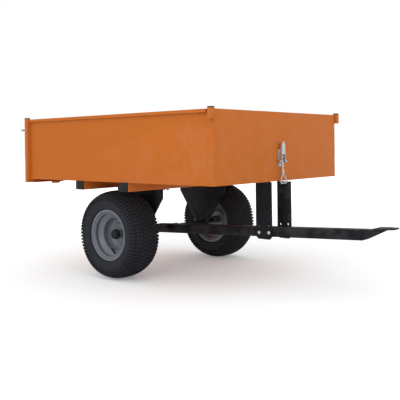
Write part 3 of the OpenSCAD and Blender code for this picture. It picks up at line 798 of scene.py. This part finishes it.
def tread(side, settings, top):
    """All the tread blocks of one tyre, in rows mirrored about its middle plane."""
    block = template("tread_block", tread_block_mesh())
    graph = Repeats("tread_rows", {
        "Block": block, "Blocks round": settings.count, "Block length": settings.length,
        "Tread depth": settings.depth, "Finish": finish_of("tyre_rubber")})
    index = graph.add("GeometryNodeInputIndex")
    rows = []
    for hand in (-1, 1):
        for place, width, length, skew, phase in TREAD_ROWS:
            across = hand * place * TYRE_HALF
            radius = crown_radius(across, top)
            step = 0.5 * MM
            rise = crown_radius(across + step, top) - crown_radius(across - step, top)
            lean = math.atan(rise / (2 * step))
            shift = phase + (0.25 if hand > 0 else 0)
            angle = (index + shift) * (2 * math.pi) / graph.value("Blocks round")
            spot = graph.add("ShaderNodeCombineXYZ", None, {
                0: angle.sin() * radius, 1: across, 2: angle.cos() * radius})
            points = graph.add("GeometryNodePoints", None, {
                "Count": graph.value("Blocks round"), "Position": spot})
            size = graph.add("ShaderNodeCombineXYZ", None, {
                0: graph.value("Block length") * length, 1: width * TYRE_HALF,
                2: graph.value("Tread depth")})
            skewed = graph.add("GeometryNodeTransform", None, {
                "Geometry": graph.shape("Block"), "Scale": size})
            skewed = graph.add("GeometryNodeTransform", None, {
                "Geometry": skewed, "Rotation": (0, 0, hand * math.radians(skew))})
            turn = graph.add("ShaderNodeCombineXYZ", None, {0: lean, 1: angle, 2: 0.0})
            rows.append(graph.add("GeometryNodeInstanceOnPoints", None, {
                "Points": points, "Instance": skewed, "Rotation": turn}))
    all_rows = graph.add("GeometryNodeJoinGeometry", None, {"Geometry": rows})
    placed = graph.add("GeometryNodeTransform", None, {
        "Geometry": all_rows, "Translation": (AXLE.x, side * WHEEL_Y, AXLE.z)})
    obj = graph.build(link("tread", bpy.data.meshes.new("tread")), placed)
    discard(block)
    mesh = obj.data
    discard(obj)
    return mesh


def rim_meshes(side):
    """The rim's stepped barrel, with rolled flanges, and its dished disc."""
    gauge = 3 * MM
    edge, flange = RIM_HALF, RIM_R
    seat, well = flange - 17.5 * MM, flange - 40.5 * MM
    half = [(flange - 0.6 * MM, edge - 1.6 * MM), (flange - 8.5 * MM, edge - 1.6 * MM),
            (flange - 11.5 * MM, edge - 8 * MM), (seat, edge - 10 * MM), (seat, 41 * MM),
            (well, 28.5 * MM)]
    path = rounded_path(half + [(radius, -across) for radius, across in half[::-1]], 2.5 * MM)
    barrel = lathe("barrel", ribbon(path, gauge), side, 128)
    sunk = -8.5 * MM
    disc_path = rounded_path(
        [(well - 1 * MM, 0), (58 * MM, 0), (44 * MM, sunk), (HUB_R, sunk)], 9 * MM)
    disc = lathe("disc", ribbon(disc_path, gauge), side, 96)
    bead = [(well - 1.5 * MM + 3 * MM * math.cos(a), 1.5 * MM + 3 * MM * math.sin(a))
            for a in (2 * math.pi * i / 10 for i in range(10))]
    weld = lathe("disc_weld", bead, side, 96)
    return [barrel, disc, weld]


def hub_cap_outline():
    """A pressed-on cap: plain skirt, a stepped ring and a slightly sunk face."""
    low, high = low_high("hub_cap_far")
    radius = (high.x - low.x) / 2
    skirt, top = low.y - WHEEL_Y, high.y - WHEEL_Y
    profile = [(HUB_R, skirt), (radius, skirt), (radius, top - 9 * MM),
               (radius - 2 * MM, top - 8 * MM), (radius - 2 * MM, top), (radius - 8 * MM, top),
               (radius - 10 * MM, top - 2.5 * MM), (6 * MM, top - 2.5 * MM)]
    points = [tuple(point) for point in rounded_path(profile, 1.6 * MM, 3)]
    return points + [(0.0, top - 2.2 * MM), (0.0, skirt + 18 * MM), (HUB_R, skirt + 18 * MM)]


# ---- studio ----

# The camera's lens in millimetres, the downward shift of its frame, its heading and roll in
# degrees, and its place in metres from the tray's near front corner at the height of the bed
LENS = 57.6
SHIFT_DOWN = 0.1355
HEADING, ROLL = 41.22, -0.71
CAMERA_PLACE = Vector((1.574, -1.876, 0.157))
# Where the lamps stand from the top of the same corner, and how wide they are, in metres
KEY_PLACE, KEY_WIDTH = Vector((2.1, -1.7, 2.1)), 3.0
FILL_PLACE, FILL_WIDTH = Vector((0.4, -3.6, 1.0)), 2.4
# Strength of the world where it is seen in something glossy, and half the floor's length in metres
GLOSSY_SKY = 0.8
FLOOR_REACH = 30


# ---- operators ----

class CART_OT_studio(bpy.types.Operator):
    """Make the camera, the lamps, the world and the floor"""

    bl_idname = "cart.studio"
    bl_label = "Studio"

    def execute(self, context):
        scene = context.scene
        studio = scene.cart_studio
        scene.view_settings.view_transform = "Standard"
        self.camera(scene)
        self.world(scene, studio.sky)
        corner = Vector((FRONT_X, -HALF_W, RIM_Z))
        self.lamp("key_lamp", corner + KEY_PLACE, corner, KEY_WIDTH, studio.key)
        self.lamp("fill_lamp", corner + FILL_PLACE, corner, FILL_WIDTH, studio.fill)
        self.floor()
        return {"FINISHED"}

    def camera(self, scene):
        """A level camera off the near front corner, its frame shifted down on to the cart."""
        data = bpy.data.cameras.new("camera")
        data.sensor_width = 36
        data.lens = LENS
        data.shift_y = -SHIFT_DOWN
        heading, roll = math.radians(HEADING), math.radians(ROLL)
        right = Vector((math.cos(heading), math.sin(heading), 0))
        ahead = Vector((-math.sin(heading), math.cos(heading), 0))
        up = right.cross(ahead)
        side = right * math.cos(roll) + up * math.sin(roll)
        top = up * math.cos(roll) - right * math.sin(roll)
        place = Vector((FRONT_X, -HALF_W, BED_Z)) + CAMERA_PLACE
        turn = Matrix((side, top, -ahead)).transposed().to_4x4()
        camera = bpy.data.objects.new("camera", data)
        camera.matrix_world = Matrix.Translation(place) @ turn
        scene.collection.objects.link(camera)
        scene.camera = camera

    def world(self, scene, strength):
        """Even light, white to the camera."""
        world = bpy.data.worlds.new("studio_world")
        world.use_nodes = True
        scene.world = world
        graph = Graph(world.node_tree)
        seen = graph.add("ShaderNodeLightPath")
        glossy = seen.sibling("Is Glossy Ray")
        level = strength + seen * (1 - strength)
        level = level + glossy * (GLOSSY_SKY - strength)
        sky = graph.add("ShaderNodeBackground", None, {"Color": (1, 1, 1, 1), "Strength": level})
        graph.add("ShaderNodeOutputWorld", None, {"Surface": sky})

    def lamp(self, name, place, target, size, power):
        data = bpy.data.lights.new(name, "AREA")
        data.shape = "DISK"
        data.size = size
        data.energy = power
        lamp = bpy.data.objects.new(name, data)
        lamp.location = place
        lamp.rotation_euler = (target - place).to_track_quat("-Z", "Y").to_euler()
        bpy.context.scene.collection.objects.link(lamp)

    def floor(self):
        """A wide pale floor that stays white to the camera where no shadow falls."""
        mesh = bpy.data.meshes.new("floor")
        corners = [(x * FLOOR_REACH, y * FLOOR_REACH, 0)
                   for x, y in ((-1, -1), (1, -1), (1, 1), (-1, 1))]
        mesh.from_pydata(corners, [], [(0, 1, 2, 3)])
        floor = link("floor", mesh)
        finish = Finish("studio_floor")
        seen = finish.add("ShaderNodeLightPath")
        speck = finish.noise(3, 2)
        pale = finish.mix(speck * 0.02, (0.84, 0.84, 0.845, 1), (0.8, 0.8, 0.8, 1))
        tone = finish.mix(seen, pale, (0.96, 0.99, 1.0, 1))
        # Painted glow: to the camera the floor gives off light of its own. It is faint near the
        # cart, where it lifts the shadows, and stronger further off.
        across = finish.add("ShaderNodeSeparateXYZ", None, {0: finish.place})
        along = across.sibling(1)
        away = (across * across + along * along) ** 0.5
        distant = finish.ramp(away / 6, (0.25, 0.0), (0.75, 1.0))
        painted_glow = finish.mix(distant, (0.18, 0.185, 0.19, 1), (0.5, 0.5, 0.5, 1))
        finish.surface(Base_Color=tone, Roughness=0.9, Specular_IOR_Level=0.1,
                       Emission_Color=finish.mix(seen, (0, 0, 0, 1), painted_glow), Emission_Strength=1.0)
        mesh.materials.append(finish.material)


class CART_OT_tray(bpy.types.Operator):
    """Make the tray's folded sheets, with softened edges and folds"""

    bl_idname = "cart.tray"
    bl_label = "Tray"

    def execute(self, context):
        width = context.scene.cart_edges.sheet
        for node in ("tray_floor", "front_panel", "side_panel_near", "side_panel_far", "rear_sill",
                     "tailgate_panel", "hinge_straps", "hinge_fixed_knuckles"):
            rounded_copy(node, width)
        return {"FINISHED"}


class CART_OT_tubes(bpy.types.Operator):
    """Make the square tubes with round corners: beams, corner tubes and drawbar"""

    bl_idname = "cart.tubes"
    bl_label = "Square tubes"

    def execute(self, context):
        edges = context.scene.cart_edges
        for node in ("cross_beam_front", "cross_beam_rear"):
            mid, half = middle(node), half_size(node)
            mesh = square_tube(node, half.x, half.z, BEAM_WALL, edges.tube, lambda a, b: -half.y,
                               lambda a, b: half.y, lambda a, b, s: (mid.x + a, s, mid.z + b))
            self.show(mesh, node)
        for node in ("corner_sockets", "rear_post_near", "rear_post_far"):
            tubes = []
            for low, high in islands(node):
                mid, half = (low + high) / 2, (high - low) / 2
                tubes.append(square_tube(
                    node, half.x, half.y, POST_WALL, edges.tube,
                    lambda a, b: -half.z, lambda a, b: half.z,
                    lambda a, b, s: (mid.x + a, mid.y + b, mid.z + s)))
            obj = joined("tube_" + node, tubes, SLOT_OF[node])
            stands_for(smooth(obj, 35), node)
        self.drawbar(edges.bar)
        return {"FINISHED"}

    def show(self, mesh, node):
        stands_for(smooth(link("tube_" + node, mesh, SLOT_OF[node]), 35), node)

    def drawbar(self, radius):
        """The drawbar's sloping line is read from the corners of its CAD mesh."""
        verts = [v.co for v in frame["nodes"]["drawbar"].data.vertices]
        rear_top = max((v for v in verts if v.x < AXLE.x), key=lambda v: v.z - v.x)
        rear_low = min((v for v in verts if v.x < AXLE.x), key=lambda v: v.z)
        front_top = max(verts, key=lambda v: v.x)
        front_low = max((v for v in verts if v.x > AXLE.x), key=lambda v: 0.4 * v.x - v.z)
        along = Vector((front_top.x - rear_top.x, 0, front_top.z - rear_top.z))
        length = along.length
        along.normalize()
        up = Vector((-along.z, 0, along.x))
        rear_top = Vector((rear_top.x, 0, rear_top.z))
        height = (rear_top - Vector((rear_low.x, 0, rear_low.z))).dot(up)
        half_w = max(v.y for v in verts)
        cut = length - (Vector((front_low.x, 0, front_low.z)) - rear_top).dot(along)
        mid = rear_top - up * (height / 2)

        def nose(a, b):
            return length - cut * (height / 2 - b) / height

        mesh = square_tube("drawbar", half_w, height / 2, BAR_WALL, radius, lambda a, b: 0.0, nose,
                           lambda a, b, s: mid + along * s + up * b + Vector((0, a, 0)))
        self.show(mesh, "drawbar")


class CART_OT_plates(bpy.types.Operator):
    """Make the thick plates with softened edges: posts, brackets, hitch plate, keeper and sleeve"""

    bl_idname = "cart.plates"
    bl_label = "Plates"

    def execute(self, context):
        width = context.scene.cart_edges.plate
        for node in ("support_post", "latch_post", "bracket_near", "bracket_far", "hitch_plate",
                     "keeper_hook"):
            rounded_copy(node, width)
        rounded_copy("pivot_sleeve", SLEEVE_EDGE)
        rounded_copy("rest_pad", PAD_EDGE, 3)
        for node in ("beam_plugs", "tube_plugs"):
            rounded_copy(node, PLUG_EDGE, 3)
        return {"FINISHED"}


class CART_OT_wheels(bpy.types.Operator):
    """Make both wheels: tyre with tread, rim and hub cap"""

    bl_idname = "cart.wheels"
    bl_label = "Wheels"

    def execute(self, context):
        settings = context.scene.cart_tread
        top = TYRE_R - settings.depth
        for name, side in SIDES.items():
            rubber = [carcass(side, top), tread(side, settings, top)]
            tyre = joined("tyre_" + name, rubber, "tyre_rubber")
            stands_for(smooth(tyre, 38), "tyre_" + name)
            rim = joined("rim_" + name, rim_meshes(side), "rim_paint")
            stands_for(smooth(rim, 40), "rim_" + name)
            cap = link("cap_" + name, lathe("cap", hub_cap_outline(), side, 64), "black_plastic")
            stands_for(smooth(cap, 30), "hub_cap_" + name)
        return {"FINISHED"}


class CART_OT_fasteners(bpy.types.Operator):
    """Make the domed bolt heads, hexagon nuts and bracket bolts"""

    bl_idname = "cart.fasteners"
    bl_label = "Fasteners"

    def execute(self, context):
        heads, turns, shanks = [], [], []
        for low, high in islands("post_bolts"):
            mid = (low + high) / 2
            head_near = abs(low.y) > abs(high.y)
            y = low.y if head_near else high.y
            hand = -1 if head_near else 1
            heads.append((mid.x, y - hand * HEAD_H, mid.z))
            turns.append((-hand * math.pi / 2, 0, 0))
            far_end = high.y if head_near else low.y
            shanks.append((mid.x, (y, far_end), mid.z))
        bolts = repeated("post_bolt_heads", domed_head_mesh(HEAD_R, HEAD_H), heads, "zinc", turns)
        outline = [(0, 0), (SHANK_R, 0), (SHANK_R, SHANK_REACH), (0, SHANK_REACH)]
        rods = [turned("shank", outline, (x, min(span) + 2 * MM, z), (0, 1, 0), 20)
                for x, span, z in shanks]
        bolts.data = merged("post_bolts", [bolts.data] + rods)
        bolts.data.materials.append(finish_of("zinc"))
        stands_for(smooth(bolts, 35), "post_bolts")
        places, turns = [], []
        for low, high in islands("post_nuts"):
            mid = (low + high) / 2
            hand = 1 if mid.y < 0 else -1
            places.append((mid.x, low.y if hand > 0 else high.y, mid.z))
            turns.append((-hand * math.pi / 2, 0, 0))
        nut = hex_nut_mesh(NUT_FLATS, NUT_H, SHANK_R)
        nuts = repeated("captive_nuts", nut, places, "zinc", turns)
        stands_for(nuts, "post_nuts")
        for node in ("axle_spacers", "plunger_guides", "latch_rivets", "strap_bolts",
                     "bracket_bolts", "lever_pivots", "hinge_pins"):
            rounded_copy(node, SMALL_EDGE)
        return {"FINISHED"}


class CART_OT_latch(bpy.types.Operator):
    """Make the toggle latch's lever and base, and its plungers"""

    bl_idname = "cart.latch"
    bl_label = "Latch"

    def execute(self, context):
        for node in ("latch_base", "latch_lever"):
            rounded_copy(node, LATCH_EDGE)
        for node in ("plunger_near", "plunger_far"):
            rounded_copy(node, PLUG_EDGE, 3)
        return {"FINISHED"}


class CART_OT_finishes(bpy.types.Operator):
    """Give every CAD node that stays its finish"""

    bl_idname = "cart.finishes"
    bl_label = "Finishes"

    def execute(self, context):
        for node, obj in frame["nodes"].items():
            for place in obj.material_slots:
                place.material = finish_of(SLOT_OF[node])
        return {"FINISHED"}


OPERATORS = (CART_OT_studio, CART_OT_tray, CART_OT_tubes, CART_OT_plates, CART_OT_wheels,
             CART_OT_fasteners, CART_OT_latch, CART_OT_finishes)


class CART_PT_panel(bpy.types.Panel):
    """Buttons and settings of the cart, in the 3D view's sidebar"""

    bl_idname = "CART_PT_panel"
    bl_label = "Tipping garden cart"
    bl_space_type = "VIEW_3D"
    bl_region_type = "UI"
    bl_category = "Cart"

    def draw(self, context):
        for name in GROUPS:
            group = getattr(context.scene, name)
            for setting in group.__annotations__:
                self.layout.prop(group, setting)
        for operator in OPERATORS:
            self.layout.operator(operator.bl_idname)


GROUPS = {"cart_paint": CartPaint, "cart_tread": CartTread, "cart_edges": CartEdges,
          "cart_studio": CartStudio}


def register():
    for cls in (*GROUPS.values(), *OPERATORS, CART_PT_panel):
        bpy.utils.register_class(cls)
    for name, group in GROUPS.items():
        setattr(bpy.types.Scene, name, bpy.props.PointerProperty(type=group))


def unregister():
    for name in GROUPS:
        delattr(bpy.types.Scene, name)
    for cls in (CART_PT_panel, *reversed(OPERATORS), *GROUPS.values()):
        bpy.utils.unregister_class(cls)


def main():
    register()
    for operator in OPERATORS:
        group, name = operator.bl_idname.split(".")
        getattr(getattr(bpy.ops, group), name)()


if __name__ == "__main__":
    main()
